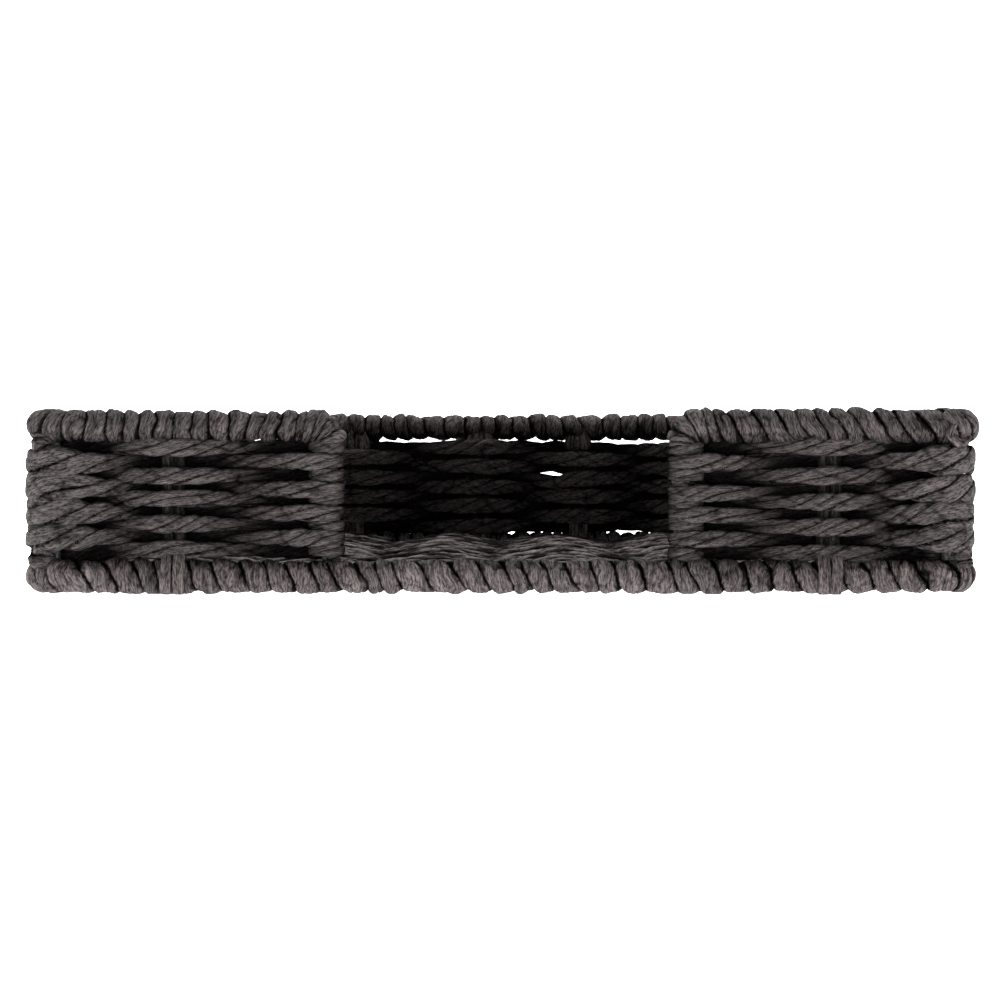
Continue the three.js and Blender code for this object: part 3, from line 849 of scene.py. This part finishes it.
def floor_rope_line(rope, rng):
    low, high = box_mm(f"floor_weaver_{rope + 1}")
    pitch = (high[1] - low[1] - 2 * FLOOR_ROPE_HALF) / (FLOOR_ROWS - 1)
    stakes = floor_stake_places()
    points = []
    for i in range(FLOOR_ROWS):
        row = rope * FLOOR_ROWS + i
        y = low[1] + FLOOR_ROPE_HALF + i * pitch
        heading = -1 if row % 2 else 1
        corner = row < 1 or row > FLOOR_ROPES * FLOOR_ROWS - 2
        turn = FLOOR_CORNER_TURN if corner else FLOOR_TURN
        x = np.arange(-turn, turn + 0.1, 0.8)
        knots, heights = [-turn], [0.0]
        for k, at in enumerate(stakes):
            sign = 1 if (k + row) % 2 else -1
            knots += [at - 1.6, at + 1.6]
            heights += [sign * FLOOR_SWING] * 2
        z = np.interp(x, knots + [turn], heights + [0.0])
        window = np.hanning(11)
        z = np.convolve(np.pad(z, 5, mode="edge"), window / window.sum(), mode="valid")
        sway = 0.35 * wave_noise(rng, x + turn, 21.0)
        out = np.clip(np.abs(z) / FLOOR_SWING, 0, 1)[:, None]
        half = np.array(FLOOR_ROPE) * out + np.array(FLOOR_ROPE_CROSSING) * (1 - out)
        lift = 0.6 * wave_noise(rng, x + turn, 11.0)
        part = np.column_stack([x, y + sway, FLOOR_Z + z + lift, half])
        points.append(part[::heading])
    return soften(resample(np.vstack(points), 0.45)[0], 4)


def make_floor_ropes():
    for rope in range(FLOOR_ROPES):
        rng = np.random.default_rng(200 + rope)
        twisted_rope(f"floor_rope_{rope + 1}", floor_rope_line(rope, rng), rng, pale_rope_paper,
                     [f"floor_weaver_{rope + 1}"], step=0.5, around=24, floor_dim=0.95)


# ---------------------------------------------------------------- stakes
STRAND = (0.85, 1.4)  # half thickness and half width of one strand
STRAND_FLAT = (0.6, 1.35)  # where it is pulled tight round a rim
STRAND_WIDE = (0.5, 2.1)  # where its end opens out inside the top rim


def strand_line(profile, square, s, shift):
    """A strand in the upright plane across the wall at s, moved along the wall by shift, or more where wide.

    profile rows are distance out from the wall's plane, height, and the two half sizes.
    """
    profile = np.array(profile, float)
    at = square.at(s)
    out = square.at(s, 1.0) - at
    along = np.array([-out[1], out[0]])
    xy = at + along * shift * profile[:, 3:] / STRAND[1] + profile[:, :1] * out
    return np.column_stack([xy, profile[:, 1:]])


def stake_profile():
    """Tail inside the wall, round under the bottom rim, up the wall, over the top rim and in again."""
    low = BOTTOM_HALF - WALL_HALF
    high = TOP_HALF - WALL_HALF
    rows = [[-1.5, BOTTOM_Z + 6.5, *STRAND], [-2.1, BOTTOM_Z + 3.5, *STRAND_FLAT]]
    reach = BOTTOM_RADIUS + 1.8
    for angle in np.radians(np.linspace(190, 425, 16)):
        height = max(BOTTOM_Z + reach * math.sin(angle), 0.4)
        rows.append([low + reach * math.cos(angle), height, *STRAND_FLAT])
    rows += [[0.3, BOTTOM_Z + 5.4, *STRAND], [0, BOTTOM_Z + 8, *STRAND], [0, TOP_Z - 7, *STRAND]]
    rows += [[0.2, TOP_Z - 4.4, *STRAND]]
    reach = TOP_RADIUS - 0.8
    for angle in np.radians(np.linspace(-55, 190, 16)):
        rows.append([high + reach * math.cos(angle), TOP_Z + reach * math.sin(angle), *STRAND_FLAT])
    rows += [[-1.6, TOP_Z - 3.6, *STRAND_WIDE], [-1.3, TOP_Z - 6.0, *STRAND_WIDE]]
    return rows


def make_stakes():
    profile = stake_profile()
    number = 0
    for side in SIDES:
        for name in stake_nodes(side):
            x, y, _ = middle(name)
            s = wall.place(side, x if side in ("front", "back") else y)
            for half, shift in (("a", -1.28), ("b", 1.28)):
                rng = np.random.default_rng(300 + number)
                number += 1
                line, along = resample(strand_line(profile, wall, s, shift), 0.5)
                out = wall.at(s, 1.0) - wall.at(s)
                across = np.array([-out[1], out[0], 0.0])
                line[:, :2] += 0.25 * wave_noise(rng, along, 6.0)[:, None] * across[:2]
                line = soften(line, 3)
                line = line[:, [0, 1, 2, 4, 3]]
                flat_strand(f"{name}_{half}", line, rng, stake_paper, [name], up=across,
                            wall_dim=0.96)
    for k, x in enumerate(floor_stake_places()):
        for half, shift in (("a", -1.25), ("b", 1.25)):
            rng = np.random.default_rng(400 + 2 * k + (half == "b"))
            y = np.arange(-BOTTOM_HALF + 2.2, BOTTOM_HALF - 2.1, 2.0)
            line = np.column_stack([
                x + shift + 0.3 * wave_noise(rng, y - y[0], 30.0), y, np.full(len(y), FLOOR_Z),
                np.tile((0.9, 1.3), (len(y), 1)),
            ])
            node_name = f"floor_stake_{k + 1}"
            flat_strand(f"{node_name}_{half}", line, rng, stake_paper, [node_name])


# ---------------------------------------------------------------- camera, stage and light
CAMERA_DISTANCE = 690  # from the front of the tray
CAMERA_HEIGHT = 33.4
CAMERA_PITCH = 1.14
LENS = 120.1
SHIFT = -0.0012  # of the picture's width


def make_camera():
    data = bpy.data.cameras.new("camera")
    data.lens = LENS
    data.sensor_width = 36
    data.clip_start = 0.01
    data.shift_x = SHIFT
    camera = bpy.data.objects.new("camera", data)
    front = float(CAD_BOX[0][1])
    camera.location = (0, front - CAMERA_DISTANCE * MM, CAMERA_HEIGHT * MM)
    camera.rotation_euler = (math.radians(90 - CAMERA_PITCH), 0, 0)
    bpy.context.scene.collection.objects.link(camera)
    bpy.context.scene.camera = camera


def plain(name, colour, glow=0.0):
    material, _, shader = new_material(name)
    shader.inputs["Base Color"].default_value = (*colour, 1)
    shader.inputs["Roughness"].default_value = 0.9
    if glow:
        shader.inputs["Emission Color"].default_value = (*colour, 1)
        shader.inputs["Emission Strength"].default_value = glow
    return material


STAGE_RADIUS, STAGE_HEIGHT = 4.0, 0.8  # metres


def make_stage():
    bpy.ops.mesh.primitive_circle_add(vertices=96, radius=STAGE_RADIUS, fill_type="NGON")
    floor = bpy.context.object
    floor.name = "floor"
    floor.data.materials.append(plain("pale_floor", (0.9, 0.9, 0.9), 2.4))
    bpy.ops.mesh.primitive_cylinder_add(vertices=96, radius=STAGE_RADIUS - 0.01, depth=STAGE_HEIGHT,
                                        location=(0, 0, STAGE_HEIGHT / 2), end_fill_type="NOTHING")
    screen = bpy.context.object
    screen.name = "backdrop"
    screen.data.materials.append(plain("backdrop_white", (1.0, 1.0, 1.0), 1.1))


def area_light(name, size, power, location, target=(0, 0, 0)):
    data = bpy.data.lights.new(name, "AREA")
    data.shape = "RECTANGLE"
    data.size, data.size_y = size
    data.energy = power
    light = bpy.data.objects.new(name, data)
    light.location = location
    aim = Vector(target) - Vector(location)
    light.rotation_euler = aim.to_track_quat("-Z", "Y").to_euler()
    bpy.context.scene.collection.objects.link(light)


OVERHEAD_WATTS = 46
SKY = 0.15  # strength of the even white light from all round


def make_light():
    world = bpy.data.worlds.new("world")
    bpy.context.scene.world = world
    world.use_nodes = True
    sky = world.node_tree.nodes["Background"].inputs
    sky["Color"].default_value = (1, 1, 1, 1)
    sky["Strength"].default_value = SKY
    area_light("overhead", (1.4, 0.7), OVERHEAD_WATTS, (0, 0.42, 1.2))
    bpy.context.scene.view_settings.view_transform = "Standard"


make_camera()
make_wires()
make_rim_windings()
make_strip_end()
make_post_windings()
make_wall_ropes()
make_floor_ropes()
make_stakes()
make_stage()
make_light()
